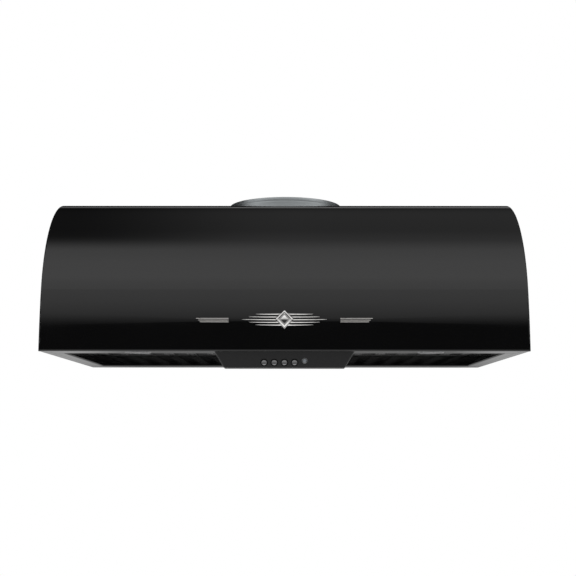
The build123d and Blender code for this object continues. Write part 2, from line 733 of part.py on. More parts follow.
with BuildPart() as motor_bracket:
    with BuildSketch(Plane.YZ.offset(MOTOR_START)):
        with Locations((WHEEL_Y, WHEEL_Z)):
            Circle(36)
            with PolarLocations(BRACKET_FOOT_R / 2 + 2, 3, start_angle=90):
                Rectangle(BRACKET_FOOT_R, 14)
            Circle(14, mode=Mode.SUBTRACT)
    extrude(amount=-1.5)
    with BuildSketch(Plane.YZ.offset(OUTLET_X / 2 + SCROLL_SHEET)):
        with Locations((WHEEL_Y, WHEEL_Z)):
            with PolarLocations(BRACKET_FOOT_R, 3, start_angle=90):
                Rectangle(6, 14)
    extrude(amount=MOTOR_START - 1.0 - OUTLET_X / 2 - SCROLL_SHEET)
save(motor_bracket, "motor_bracket")

with BuildPart() as capacitor:
    with BuildSketch(Plane.XY.offset(PLATE_TOP - SHEET)):
        with Locations((96, -60)):
            Circle(15)
    extrude(amount=-52)
    fillet(capacitor.edges().filter_by(GeomType.CIRCLE), 2)
save(capacitor, "capacitor")

# ------------------------------------------------------------------------------------- wiring

BOX_X = 90.0
BOX_Y = 62.0
BOX_DROP = 48.0
BOX_SHEET = 1.0
BOX_FRONT_Y = WIRE_Y - BOX_Y / 2
CABLE_R = 3.0
CABLE_X = WIRE_X - 23
CABLE_Z = -34.0
CABLE_START = (MOTOR_START + MOTOR_LENGTH, WHEEL_Y + 20, WHEEL_Z + 12)

with BuildPart() as wiring_box:
    with BuildSketch(Plane.XY.offset(-SHEET)):
        with Locations((WIRE_X, WIRE_Y)):
            Rectangle(BOX_X, BOX_Y)
    extrude(amount=SHEET - BOX_DROP)
    with BuildSketch(Plane.XY.offset(-SHEET - BOX_SHEET)):
        with Locations((WIRE_X, WIRE_Y - BOX_SHEET)):
            Rectangle(BOX_X - 2 * BOX_SHEET, BOX_Y)
    extrude(amount=SHEET + 2 * BOX_SHEET - BOX_DROP, mode=Mode.SUBTRACT)
    with BuildSketch(Plane.XY):
        with Locations((WIRE_X, WIRE_Y)):
            Circle(WIRE_HOLE_R + 1)
        with Locations(*BOX_SCREWS):
            Circle(SCREW_HOLE_R)
    extrude(amount=-5, mode=Mode.SUBTRACT)
save(wiring_box, "wiring_box")

with BuildPart() as wiring_box_cover:
    with BuildSketch(Plane.XZ.offset(-BOX_FRONT_Y)):
        with Locations((WIRE_X, -(SHEET + BOX_DROP) / 2)):
            Rectangle(BOX_X, BOX_DROP - SHEET - 0.4)
        with Locations((CABLE_X, CABLE_Z)):
            Circle(CABLE_R + 0.1, mode=Mode.SUBTRACT)
    extrude(amount=BOX_SHEET)
    with BuildSketch(Plane.XY.offset(-BOX_DROP)):
        with Locations((WIRE_X, BOX_FRONT_Y + 4.5)):
            Rectangle(BOX_X - 10, 11)
    extrude(amount=-BOX_SHEET)
    with BuildSketch(Plane.XY.offset(-BOX_DROP - BOX_SHEET)):
        with Locations((WIRE_X, BOX_FRONT_Y - BOX_SHEET / 2)):
            Rectangle(BOX_X - 10, BOX_SHEET)
    extrude(amount=4)
save(wiring_box_cover, "wiring_box_cover")

with BuildPart() as terminal_block:
    with BuildSketch(Plane.XY.offset(-BOX_DROP + BOX_SHEET)):
        with Locations((WIRE_X + 10, WIRE_Y + 16)):
            Rectangle(44, 22)
    extrude(amount=12)
    with BuildSketch(Plane.XY.offset(-BOX_DROP + BOX_SHEET + 12)):
        with Locations((WIRE_X + 10, WIRE_Y + 16)):
            with GridLocations(14, 1, 3, 1):
                Rectangle(10, 18)
    extrude(amount=5)
    with BuildSketch(Plane.XY.offset(-BOX_DROP + BOX_SHEET + 17)):
        with Locations((WIRE_X + 10, WIRE_Y + 16)):
            with GridLocations(14, 10, 3, 2):
                Circle(2.2)
    extrude(amount=-4, mode=Mode.SUBTRACT)
save(terminal_block, "terminal_block")

with BuildPart() as led_driver:
    with BuildSketch(Plane.XY.offset(-SHEET)):
        with Locations((DRIVER_X, DRIVER_Y)):
            Rectangle(114, 20)
        with Locations(*DRIVER_SCREWS):
            Circle(SCREW_HOLE_R, mode=Mode.SUBTRACT)
    extrude(amount=-2)
    with BuildSketch(Plane.XY.offset(-SHEET)):
        with Locations((DRIVER_X, DRIVER_Y)):
            RectangleRounded(86, 42, 3)
    extrude(amount=-26)
save(led_driver, "led_driver")

CABLE_ROUTE = [
    CABLE_START,
    (CABLE_X, CABLE_START[1], CABLE_START[2]),
    (CABLE_X, CABLE_START[1], CABLE_Z),
    (CABLE_X, BOX_FRONT_Y + 12, CABLE_Z),
]
cable_radii = []
for before, corner, after in zip(CABLE_ROUTE, CABLE_ROUTE[1:], CABLE_ROUTE[2:]):
    run_in = (Vector(*corner) - Vector(*before)).length
    run_out = (Vector(*after) - Vector(*corner)).length
    cable_radii.append(0.45 * min(run_in, run_out))
print("motor cable bend radii", [round(radius, 1) for radius in cable_radii])

with BuildPart() as motor_cable:
    with BuildLine() as cable_path:
        FilletPolyline(*CABLE_ROUTE, radius=cable_radii)
    with BuildSketch(Plane.YZ.offset(CABLE_START[0])):
        with Locations((CABLE_START[1], CABLE_START[2])):
            Circle(CABLE_R)
    sweep(path=cable_path.line)
save(motor_cable, "motor_cable")

# -------------------------------------------------------------------------------- front trim

TRIM_GAP = 0.1  # between a flat ornament's back and the curved front
BAR_HEIGHT = 2.4
BAR_PITCH = 2.9
BAR_START = 86.4  # inner ends, from the centre
BAR_LENGTHS = (45.2, 47.8, 51.2)  # from the lowest bar up
BADGE_HALF = 65.5
BADGE_HALF_HEIGHT = 14.8
LOZENGE_HALF = 14.0
WING_PITCH = 4.2
WING_STEP = 10.5
STUD_LENGTH = 7.0
NUT_R = 4.0
NUT_GAP = 0.4


def front_plane(height):
    """Return the plane that touches the lower front at a height above the rim, facing outward."""
    turn = asin(height / SKIRT_R)
    return Plane(
        origin=(0, front_y(height), RIM_Z + height),
        x_dir=(1, 0, 0),
        z_dir=(0, -cos(turn), sin(turn)),
    )


TRIM_PLANE = front_plane(TRIM_Z).offset(TRIM_GAP)
BADGE_PLANE = front_plane(BADGE_Z).offset(TRIM_GAP)


def trim_bars(side):
    """Make one ornament of three stepped bars on a thin back, with its two studs."""
    with BuildPart() as bars:
        for i, length in enumerate(BAR_LENGTHS):
            with BuildSketch(TRIM_PLANE):
                with Locations((side * (BAR_START + length / 2), BAR_PITCH * (i - 1))):
                    Rectangle(length, BAR_HEIGHT)
            extrude(amount=2.2)
        with BuildSketch(TRIM_PLANE):
            with Locations((side * (BAR_START + BAR_LENGTHS[0] / 2), 0)):
                Rectangle(BAR_LENGTHS[0] - 1, 2 * BAR_PITCH)
        extrude(amount=0.7)
        with BuildSketch(TRIM_PLANE):
            with Locations(*[(x, 0) for x in TRIM_STUD_X if x * side > 0]):
                Circle(STUD_R)
        extrude(amount=-STUD_LENGTH)
    return bars


save(trim_bars(-1), "left_trim_bars")
save(trim_bars(1), "right_trim_bars")

with BuildPart() as badge:
    with BuildSketch(BADGE_PLANE):
        with BuildLine():
            Polyline(
                (-LOZENGE_HALF, 0),
                (0, BADGE_HALF_HEIGHT),
                (LOZENGE_HALF, 0),
                (0, -BADGE_HALF_HEIGHT),
                close=True,
            )
        make_face()
    extrude(amount=3.0)
    for row in range(-2, 3):
        tip = BADGE_HALF - WING_STEP * abs(row)
        level = WING_PITCH * row
        with BuildSketch(BADGE_PLANE):
            with BuildLine():
                Polyline((-tip, level), (0, level + 1.3), (tip, level), (0, level - 1.3), close=True)
            make_face()
        extrude(amount=2.0)
    with BuildSketch(BADGE_PLANE):
        with Locations(*[(x, 0) for x in BADGE_STUD_X]):
            Circle(STUD_R)
    extrude(amount=-STUD_LENGTH)
save(badge, "badge")

with BuildPart() as trim_push_nuts:
    for plane, places in ((TRIM_PLANE, TRIM_STUD_X), (BADGE_PLANE, BADGE_STUD_X)):
        with BuildSketch(plane.offset(-TRIM_GAP - SHEET - NUT_GAP)):
            with Locations(*[(x, 0) for x in places]):
                Circle(NUT_R)
            with Locations(*[(x, 0) for x in places]):
                Circle(STUD_R, mode=Mode.SUBTRACT)
        extrude(amount=-0.8)
save(trim_push_nuts, "trim_push_nuts")

# ------------------------------------------------------------------------------------ filters

FILTER_X = (CENTRE_RAIL_X + RECESS_X) / 2  # centre of the right filter
FILTER_W = RECESS_X - CENTRE_RAIL_X - 2 * FILTER_GAP
FILTER_FRONT_Y = RECESS_FRONT_Y + FILTER_GAP
FILTER_BACK_Y = RECESS_BACK_Y - FILTER_BACK_GAP
FILTER_D = FILTER_BACK_Y - FILTER_FRONT_Y
FILTER_Y = (FILTER_FRONT_Y + FILTER_BACK_Y) / 2
FRAME_W = 16.0
FRAME_SHEET = 1.0
BAFFLE_PITCH = 41.7
LOWER_SLATS = 7
UPPER_SLATS = 8
LATCH_X = FILTER_X - BAFFLE_PITCH / 2  # between two lower slats
BAFFLE_SHEET = 0.8
LOWER_HALF_W = 10.0
LOWER_DIP = 1.6
UPPER_HALF_W = 13.0
UPPER_RISE = 6.0
UPPER_Z = FILTER_Z + 4.5
LATCH_W = 12.0
LATCH_T = 2.4
LATCH_Z = FILTER_Z + FRAME_SHEET + 0.3
LATCH_NOSE = 1.6
LATCH_LENGTH = 26.6
LATCH_DROP = 11.0


def filter_frame(side):
    """Make a filter's frame, a channel folded round its four edges and open to the inside."""
    with BuildPart() as frame:
        with BuildSketch(Plane.XY.offset(FILTER_Z)):
            with Locations((side * FILTER_X, FILTER_Y)):
                Rectangle(FILTER_W, FILTER_D)
        extrude(amount=FILTER_T)
        with BuildSketch(Plane.XY.offset(FILTER_Z + FRAME_SHEET)):
            with Locations((side * FILTER_X, FILTER_Y)):
                Rectangle(FILTER_W - 2 * FRAME_SHEET, FILTER_D - 2 * FRAME_SHEET)
        extrude(amount=FILTER_T - 2 * FRAME_SHEET, mode=Mode.SUBTRACT)
        with BuildSketch(Plane.XY.offset(FILTER_Z)):
            with Locations((side * FILTER_X, FILTER_Y)):
                Rectangle(FILTER_W - 2 * FRAME_W, FILTER_D - 2 * FRAME_W)
        extrude(amount=FILTER_T, mode=Mode.SUBTRACT)
        with BuildSketch(Plane.YZ):
            with Locations((PIVOT_Y, PIVOT_Z)):
                Circle(PIN_R)
        extrude(amount=side * HALF, mode=Mode.SUBTRACT)
        with BuildSketch(Plane.XZ.offset(-FILTER_FRONT_Y)):
            with Locations((side * LATCH_X, LATCH_Z + LATCH_T / 2)):
                Rectangle(LATCH_W + 0.4, LATCH_T + 0.4)
        extrude(amount=-5, mode=Mode.SUBTRACT)
    return frame


def filter_pins(side):
    """Make the two hinge pins at the filter's rear corners."""
    with BuildPart() as pins:
        for end, reach in ((FILTER_X - FILTER_W / 2, -1), (FILTER_X + FILTER_W / 2, 1)):
            with BuildSketch(Plane.YZ.offset(side * (end - 3.5 * reach))):
                with Locations((PIVOT_Y, PIVOT_Z)):
                    Circle(PIN_R)
            extrude(amount=side * reach * (3.5 + FILTER_GAP + SHEET - 0.2))
    return pins


def baffles(side, count, half_w, edge_z, rise, start_y, end_y):
    """Make a row of arched slats that run from front to back, one separate solid each."""
    with BuildPart() as slats:
        radius = (half_w**2 + rise**2) / (2 * abs(rise))
        centre_z = edge_z + rise - radius * (1 if rise > 0 else -1)
        spread = degrees(asin(half_w / radius))
        middle = 90 if rise > 0 else -90
        with BuildSketch(Plane.XZ.offset(-start_y)):
            for i in range(count):
                x = side * FILTER_X + BAFFLE_PITCH * (i - (count - 1) / 2)
                with BuildLine():
                    outer = CenterArc((x, centre_z), radius, middle - spread, 2 * spread)
                    inner = CenterArc((x, centre_z), radius - BAFFLE_SHEET, middle - spread, 2 * spread)
                    Line(outer @ 0, inner @ 0)
                    Line(outer @ 1, inner @ 1)
                make_face()
        extrude(amount=start_y - end_y)
    return slats


def filter_latch(side):
    """Make the sprung latch: a flat slide through the frame's front with a finger grip below."""
    with BuildPart() as latch:
        with BuildSketch(Plane.XY.offset(LATCH_Z)):
            with Locations((side * LATCH_X, FILTER_FRONT_Y - LATCH_NOSE + LATCH_LENGTH / 2)):
                Rectangle(LATCH_W, LATCH_LENGTH)
        extrude(amount=LATCH_T)
        with BuildSketch(Plane.XY.offset(LATCH_Z)):
            with Locations((side * LATCH_X, FILTER_FRONT_Y - LATCH_NOSE + LATCH_LENGTH - 1)):
                Rectangle(LATCH_W, 2)
        extrude(amount=-LATCH_DROP)
        grip_corners = latch.edges().filter_by(Axis.Y).group_by(Axis.Z)[0]
        fillet(grip_corners, 4)
    return latch


INSIDE_FRONT_Y = FILTER_FRONT_Y + FRAME_W
INSIDE_BACK_Y = FILTER_BACK_Y - FRAME_W
CHANNEL_FRONT_Y = FILTER_FRONT_Y + FRAME_SHEET
CHANNEL_BACK_Y = FILTER_BACK_Y - FRAME_SHEET
for filter_name, filter_side in (("left_filter", -1), ("right_filter", 1)):
    save(filter_frame(filter_side), filter_name + "_frame")
    save(filter_pins(filter_side), filter_name + "_pins")
    lower = baffles(
        filter_side,
        LOWER_SLATS,
        LOWER_HALF_W,
        FILTER_Z + FRAME_SHEET,
        -LOWER_DIP,
        INSIDE_FRONT_Y,
        INSIDE_BACK_Y,
    )
    save(lower, filter_name + "_lower_baffles")
    upper = baffles(
        filter_side,
        UPPER_SLATS,
        UPPER_HALF_W,
        UPPER_Z,
        UPPER_RISE,
        CHANNEL_FRONT_Y,
        CHANNEL_BACK_Y,
    )
    save(upper, filter_name + "_upper_baffles")
    save(filter_latch(filter_side), filter_name + "_latch")

# ------------------------------------------------------------------------------------- screws


def screws(name, planes_and_places, length):
    """Make a group of pan-head screws, a separate solid each, their heads on the given planes."""
    with BuildPart() as group:
        for plane, places in planes_and_places:
            with BuildSketch(plane):
                with Locations(*places):
                    Circle(SCREW_HEAD_R)
            extrude(amount=SCREW_HEAD)
            heads = group.faces().filter_by(GeomType.PLANE).filter_by(lambda f: f.area > 40)
            top_faces = heads.filter_by(lambda f: f.normal_at().dot(plane.z_dir) > 0.9)
            fillet(top_faces.edges(), 0.9)
            with BuildSketch(plane):
                with Locations(*places):
                    Circle(SCREW_R)
            extrude(amount=-length)
    save(group, name)


screws("collar_screws", [(Plane.XY.offset(DUCT_SHEET), COLLAR_SCREWS)], 8)
screws("blower_screws", [(Plane.XY, BLOWER_SCREWS)], 9)
screws("top_screws", [(Plane.XY, BACK_SCREWS + SEAM_SCREWS)], 5)
screws("wiring_screws", [(Plane.XY, BOX_SCREWS + DRIVER_SCREWS)], 5)
screws("control_screws", [(Plane.XY.offset(RIM_Z + SHEET), POD_SCREWS)], 11)
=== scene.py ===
import json
from math import cos, hypot, pi, radians, sin

import bmesh
import bpy
from mathutils import Euler, Matrix, Vector


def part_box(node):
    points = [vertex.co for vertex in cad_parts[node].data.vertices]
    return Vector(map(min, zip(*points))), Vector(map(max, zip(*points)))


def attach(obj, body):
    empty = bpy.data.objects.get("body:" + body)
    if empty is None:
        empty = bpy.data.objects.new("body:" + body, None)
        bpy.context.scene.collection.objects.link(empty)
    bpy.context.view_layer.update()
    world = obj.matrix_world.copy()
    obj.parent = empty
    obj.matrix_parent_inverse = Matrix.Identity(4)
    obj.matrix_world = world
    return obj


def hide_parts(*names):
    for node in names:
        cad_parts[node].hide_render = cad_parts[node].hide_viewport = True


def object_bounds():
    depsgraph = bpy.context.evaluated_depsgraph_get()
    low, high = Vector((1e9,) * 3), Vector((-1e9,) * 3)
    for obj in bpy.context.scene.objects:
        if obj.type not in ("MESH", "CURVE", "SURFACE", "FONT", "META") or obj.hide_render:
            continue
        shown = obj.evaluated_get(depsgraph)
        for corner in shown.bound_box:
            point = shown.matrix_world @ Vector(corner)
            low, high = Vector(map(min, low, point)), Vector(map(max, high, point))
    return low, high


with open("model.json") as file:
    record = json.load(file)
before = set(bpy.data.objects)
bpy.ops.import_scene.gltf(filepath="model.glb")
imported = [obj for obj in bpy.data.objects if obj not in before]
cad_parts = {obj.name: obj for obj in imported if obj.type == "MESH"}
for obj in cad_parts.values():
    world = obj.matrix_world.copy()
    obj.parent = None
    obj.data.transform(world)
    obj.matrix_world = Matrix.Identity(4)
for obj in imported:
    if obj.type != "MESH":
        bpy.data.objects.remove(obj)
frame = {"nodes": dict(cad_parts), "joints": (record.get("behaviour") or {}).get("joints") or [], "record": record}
cad_low, cad_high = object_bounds()

# The looks of the range hood. Lengths are in metres; MM turns the small ones into metres.

MM = 0.001

# ------------------------------------------------------------------------------------- camera

CAMERA_AT = (0.0081, -2.1005, -0.3779)
CAMERA_PITCH = 6.847  # degrees above the horizon
CAMERA_YAW = 0.08
CAMERA_ROLL = -0.03
CAMERA_LENS = 72.25


def make_camera():
    data = bpy.data.cameras.new("camera")
    camera = bpy.data.objects.new("camera", data)
    bpy.context.scene.collection.objects.link(camera)
    data.sensor_width = 36.0
    data.lens = CAMERA_LENS
    data.clip_end = 50.0
    camera.location = CAMERA_AT
    camera.rotation_euler = Euler((radians(90 + CAMERA_PITCH), radians(CAMERA_ROLL), radians(CAMERA_YAW)))
    bpy.context.scene.camera = camera


make_camera()

# ---------------------------------------------------------------------------- shader building


def link_or_set(tree, socket, value):
    """Feed an input socket from an output socket, or give it a plain value."""
    if isinstance(value, bpy.types.NodeSocket):
        tree.links.new(value, socket)
    else:
        socket.default_value = value


def maths(tree, operation, first, second=None):
    """Add a math node and return its output."""
    made = tree.nodes.new("ShaderNodeMath")
    made.operation = operation
    link_or_set(tree, made.inputs[0], first)
    if second is not None:
        link_or_set(tree, made.inputs[1], second)
    return made.outputs[0]


def spread(tree, value, low, high, start=0.0, stop=1.0):
    """Map start..stop of a value to low..high, smoothly and within those limits."""
    made = tree.nodes.new("ShaderNodeMapRange")
    made.interpolation_type = "SMOOTHSTEP"
    for socket, given in zip(made.inputs, (value, start, stop, low, high)):
        link_or_set(tree, socket, given)
    return made.outputs[0]


def grey_ramp(tree, value, stops):
    """Turn a value from 0 to 1 into a colour through stops of (place, colour)."""
    ramp = tree.nodes.new("ShaderNodeValToRGB")
    while len(ramp.color_ramp.elements) < len(stops):
        ramp.color_ramp.elements.new(0.5)
    for element, (place, color) in zip(ramp.color_ramp.elements, stops):
        element.position = place
        element.color = (*color, 1) if isinstance(color, tuple) else (color, color, color, 1)
    tree.links.new(value, ramp.inputs[0])
    return ramp.outputs[0]


class Surface:
    """A principled material being built, with its patterns laid in the object's own metres."""

    def __init__(self, name, color, roughness, metallic=0.0, **constants):
        self.material = bpy.data.materials.new(name)
        self.material.use_nodes = True
        self.tree = self.material.node_tree
        self.shader = self.tree.nodes["Principled BSDF"]
        self.color = color
        self.shader.inputs["Base Color"].default_value = (*color, 1)
        self.shader.inputs["Roughness"].default_value = roughness
        self.shader.inputs["Metallic"].default_value = metallic
        for key, value in constants.items():
            self.shader.inputs[key.replace("_", " ")].default_value = value
        self.place = self.tree.nodes.new("ShaderNodeTexCoord").outputs["Object"]
        self.normal = None

    def stretched(self, stretch):
        """Return the object's coordinates with each axis scaled."""
        mapping = self.tree.nodes.new("ShaderNodeMapping")
        mapping.inputs["Scale"].default_value = stretch
        self.tree.links.new(self.place, mapping.inputs["Vector"])
        return mapping.outputs[0]

    def noise(self, scale, stretch=(1, 1, 1), detail=3.0):
        made = self.tree.nodes.new("ShaderNodeTexNoise")
        made.inputs["Scale"].default_value = scale
        made.inputs["Detail"].default_value = detail
        self.tree.links.new(self.stretched(stretch), made.inputs["Vector"])
        return made.outputs["Fac"]

    def cells(self, scale, stretch=(1, 1, 1), output="Color"):
        """Return a cell pattern: a random grey for each cell, or the distance to its middle."""
        made = self.tree.nodes.new("ShaderNodeTexVoronoi")
        made.inputs["Scale"].default_value = scale
        self.tree.links.new(self.stretched(stretch), made.inputs["Vector"])
        if output == "Distance":
            return made.outputs["Distance"]
        split = self.tree.nodes.new("ShaderNodeSeparateColor")
        self.tree.links.new(made.outputs["Color"], split.inputs[0])
        return split.outputs[0]

    def tint(self, value, darkest, lightest, start=0.3, stop=0.7):
        """Vary the base colour between two multiples of the material's own colour."""
        stops = [
            (start, tuple(channel * darkest for channel in self.color)),
            (stop, tuple(channel * lightest for channel in self.color)),
        ]
        color = grey_ramp(self.tree, value, stops)
        self.tree.links.new(color, self.shader.inputs["Base Color"])
        return color

    def blend_color(self, share, color, other):
        """Show the other colour where the share is 1."""
        mix = self.tree.nodes.new("ShaderNodeMix")
        mix.data_type = "RGBA"
        link_or_set(self.tree, mix.inputs[0], share)
        link_or_set(self.tree, mix.inputs[6], color)
        mix.inputs[7].default_value = (*other, 1)
        self.tree.links.new(mix.outputs[2], self.shader.inputs["Base Color"])
        return mix.outputs[2]

    def rough(self, value, low, high, start=0.3, stop=0.7):
        made = spread(self.tree, value, low, high, start, stop)
        self.tree.links.new(made, self.shader.inputs["Roughness"])

    def bump(self, height, depth, strength=1.0):
        """Raise the surface by a height pattern whose full range is depth metres."""
        made = self.tree.nodes.new("ShaderNodeBump")
        made.inputs["Distance"].default_value = depth
        made.inputs["Strength"].default_value = strength
        self.tree.links.new(height, made.inputs["Height"])
        if self.normal is not None:
            self.tree.links.new(self.normal, made.inputs["Normal"])
        self.normal = made.outputs[0]
        self.tree.links.new(self.normal, self.shader.inputs["Normal"])

    def edges(self, radius):
        """Return 1 on the object's sharp edges and 0 on its flats."""
        rounded = self.tree.nodes.new("ShaderNodeBevel")
        rounded.samples = 4
        rounded.inputs["Radius"].default_value = radius
        flat = self.tree.nodes.new("ShaderNodeNewGeometry").outputs["Normal"]
        match = self.tree.nodes.new("ShaderNodeVectorMath")
        match.operation = "DOT_PRODUCT"
        self.tree.links.new(rounded.outputs[0], match.inputs[0])
        self.tree.links.new(flat, match.inputs[1])
        return spread(self.tree, match.outputs["Value"], 1.0, 0.0, 0.78, 0.97)

    def turn(self, centre=(0, 0)):
        """Return the distance from an upright axis, in metres."""
        split = self.tree.nodes.new("ShaderNodeSeparateXYZ")
        self.tree.links.new(self.place, split.inputs[0])
        across = maths(self.tree, "SUBTRACT", split.outputs["X"], centre[0])
        along = maths(self.tree, "SUBTRACT", split.outputs["Y"], centre[1])
        squares = [maths(self.tree, "MULTIPLY", value, value) for value in (across, along)]
        return maths(self.tree, "SQRT", maths(self.tree, "ADD", *squares))


# ---------------------------------------------------------------------------- light and floor

# Brightness of the studio by the angle in degrees from the cook's side over the top to the wall: a
# dark low band, one long softbox above the cook, a thin bright line, a black band and a pale surround.
STUDIO = (
    (-90, 0.5), (-20, 0.47), (-6, 0.4), (0, 0.08), (4, 0.035), (12, 0.03), (15.6, 0.62), (22, 0.96),
    (36, 1.26), (52, 1.2), (66, 1.0), (79, 0.5), (92, 0.3), (112, 0.2), (128, 0.12), (141, 0.05),
    (145, 0.03), (149, 0.32), (151.5, 0.3), (154, 0.004), (178, 0.004), (182.4, 0.43), (200, 0.46),
    (270, 0.5),
)
STUDIO_FROM, STUDIO_TO = -90, 270
# The overhead light ends short on the left. It is at this level there, between these angles in radians.
SHADE_START = (1.15, 1.5)
SHADE_STOP = (2.5, 2.7)
SHADE_LEVEL = 0.2
SHADE_X = (-0.19, 0.01)
# The light from behind, which the rim's underside mirrors, loses this share towards the middle.
LOW_START = (3.0, 3.12)
LOW_STOP = (3.35, 3.5)
LOW_DIM = 0.6
LOW_X = (0.13, 0.19)
FLOOR_DROP = 0.62  # floor below the hood's rim
FLOOR_R = 1.5
FLOOR_CLEAR_R = 0.55  # the floor starts to fade here
FLOOR_EDGE = 0.05  # fully faded this far inside its edge
FLOOR_GLOW = 0.42


def within(tree, angle, share, start, stop):
    """Keep a share only between two angles, fading over each (from, to) pair."""
    share = maths(tree, "MULTIPLY", share, spread(tree, angle, 0.0, 1.0, *start))
    return maths(tree, "MULTIPLY", share, spread(tree, angle, 1.0, 0.0, *stop))


def make_studio():
    world = bpy.data.worlds.new("studio")
    bpy.context.scene.world = world
    world.use_nodes = True
    tree = world.node_tree
    tree.nodes.clear()
    split = tree.nodes.new("ShaderNodeSeparateXYZ")
    tree.links.new(tree.nodes.new("ShaderNodeTexCoord").outputs["Generated"], split.inputs[0])
    angle = maths(tree, "ARCTAN2", split.outputs["Z"], maths(tree, "MULTIPLY", split.outputs["Y"], -1.0))
    below = maths(tree, "LESS_THAN", angle, -pi / 2)
    turned = maths(tree, "ADD", angle, maths(tree, "MULTIPLY", below, 2 * pi))
    share = maths(tree, "DIVIDE", maths(tree, "ADD", turned, pi / 2), 2 * pi)
    full_turn = STUDIO_TO - STUDIO_FROM
    stops = [((degree - STUDIO_FROM) / full_turn, float(level)) for degree, level in STUDIO]
    studio = tree.nodes.new("ShaderNodeBackground")
    tree.links.new(grey_ramp(tree, share, stops), studio.inputs["Color"])
    shade = spread(tree, split.outputs["X"], 1.0 - SHADE_LEVEL, 0.0, *SHADE_X)
    shade = within(tree, turned, shade, SHADE_START, SHADE_STOP)
    dim = spread(tree, maths(tree, "ABSOLUTE", split.outputs["X"]), LOW_DIM, 0.0, *LOW_X)
    dim = within(tree, turned, dim, LOW_START, LOW_STOP)
    strength = maths(tree, "SUBTRACT", maths(tree, "SUBTRACT", 1.0, shade), dim)
    tree.links.new(strength, studio.inputs["Strength"])
    backdrop = tree.nodes.new("ShaderNodeBackground")
    backdrop.inputs["Color"].default_value = (1, 1, 1, 1)
    mix = tree.nodes.new("ShaderNodeMixShader")
    tree.links.new(tree.nodes.new("ShaderNodeLightPath").outputs["Is Camera Ray"], mix.inputs[0])
    tree.links.new(studio.outputs[0], mix.inputs[1])
    tree.links.new(backdrop.outputs[0], mix.inputs[2])
    tree.links.new(mix.outputs[0], tree.nodes.new("ShaderNodeOutputWorld").inputs[0])
    bpy.context.scene.view_settings.view_transform = "Standard"


def floor_material():
    """A pale matte floor that fades out towards its edge and from below."""
    floor = Surface("pale_floor", (0.86, 0.86, 0.85), 0.9)
    floor.tint(floor.noise(3.0), 0.97, 1.0)
    floor.bump(floor.noise(180.0), 0.2 * MM, 0.3)
    floor.shader.inputs["Emission Color"].default_value = (1, 1, 1, 1)
    floor.shader.inputs["Emission Strength"].default_value = FLOOR_GLOW
    fade = spread(floor.tree, floor.turn(), 1.0, 0.0, FLOOR_CLEAR_R, FLOOR_R - FLOOR_EDGE)
    geometry = floor.tree.nodes.new("ShaderNodeNewGeometry")
    front = maths(floor.tree, "SUBTRACT", 1.0, geometry.outputs["Backfacing"])
    floor.tree.links.new(maths(floor.tree, "MULTIPLY", fade, front), floor.shader.inputs["Alpha"])
    return floor.material


def make_floor():
    bm = bmesh.new()
    bmesh.ops.create_circle(bm, cap_ends=True, segments=96, radius=FLOOR_R)
    mesh = bpy.data.meshes.new("floor")
    bm.to_mesh(mesh)
    bm.free()
    floor = bpy.data.objects.new("floor", mesh)
    bpy.context.scene.collection.objects.link(floor)
    floor.location.z = cad_low.z - FLOOR_DROP
    mesh.materials.append(floor_material())


make_studio()
make_floor()

# ---------------------------------------------------------------------------------- materials


def enamel():
    """Glossy black enamel: faint orange peel and wiped smudges, with its sharp edges lightened as a painted
    highlight.
    """
    paint = Surface("gloss_black_enamel", (0.0028, 0.0028, 0.003), 0.06, IOR=1.5)
    paint.rough(paint.noise(14, detail=5), 0.05, 0.085)
    paint.bump(paint.noise(330, detail=1), 0.02 * MM, 0.2)
    paint.bump(paint.noise(22, detail=1), 0.1 * MM, 0.05)
    # Painted highlight: the sharp edges are blended to a lighter grey.
    paint.blend_color(paint.edges(0.5 * MM), (*paint.color, 1), (0.02, 0.02, 0.021))
    return paint.material


def gloss_plastic():
    """Moulded black plastic: satin gloss with a fine grain, slight sink marks and a painted highlight that
    lightens its sharp edges.
    """
    plastic = Surface("gloss_black_plastic", (0.0085, 0.0085, 0.009), 0.16, IOR=1.46)
    plastic.rough(plastic.noise(60, detail=4), 0.13, 0.2)
    plastic.bump(plastic.noise(1500, detail=2), 0.02 * MM, 0.3)
    plastic.bump(plastic.noise(30, detail=1), 0.15 * MM, 0.08)
    # Painted highlight: the sharp edges are blended to a lighter grey.
    plastic.blend_color(plastic.edges(0.6 * MM), (*plastic.color, 1), (0.035, 0.035, 0.036))
    return plastic.material


def matte_plastic(name, color, grain):
    """Plain moulded plastic with a spark-eroded grain and light dust in its low spots."""
    plastic = Surface(name, color, 0.55)
    plastic.tint(plastic.noise(90, detail=5), 0.85, 1.12)
    plastic.rough(plastic.noise(300), 0.48, 0.64)
    plastic.bump(plastic.noise(grain, detail=3), 0.05 * MM, 0.6)
    return plastic.material


def indicator():
    """A dark clear lens with a trace of light behind it."""
    lens = Surface("indicator_glow", (0.22, 0.24, 0.26), 0.12, IOR=1.49)
    lens.tint(lens.noise(900, detail=2), 0.9, 1.05)
    lens.rough(lens.noise(500), 0.08, 0.16)
    lens.shader.inputs["Emission Color"].default_value = (0.75, 0.85, 1.0, 1)
    lens.shader.inputs["Emission Strength"].default_value = 0.012
    return lens.material


def brushed(name, color, roughness, stretch, streaks=0.12, metallic=1.0):
    """Brushed metal: streaks drawn out along the axis whose stretch is small, and light scuffs."""
    metal = Surface(name, color, roughness, metallic)
    lines = metal.noise(1.0, stretch, detail=6)
    metal.tint(lines, 1 - streaks, 1 + streaks)
    scuffs = metal.noise(35, detail=5)
    both = maths(metal.tree, "ADD", maths(metal.tree, "MULTIPLY", lines, 0.7),
                 maths(metal.tree, "MULTIPLY", scuffs, 0.3))
    metal.rough(both, roughness * 0.75, roughness * 1.3)
    metal.bump(lines, 0.03 * MM, 0.35)
    return metal.material


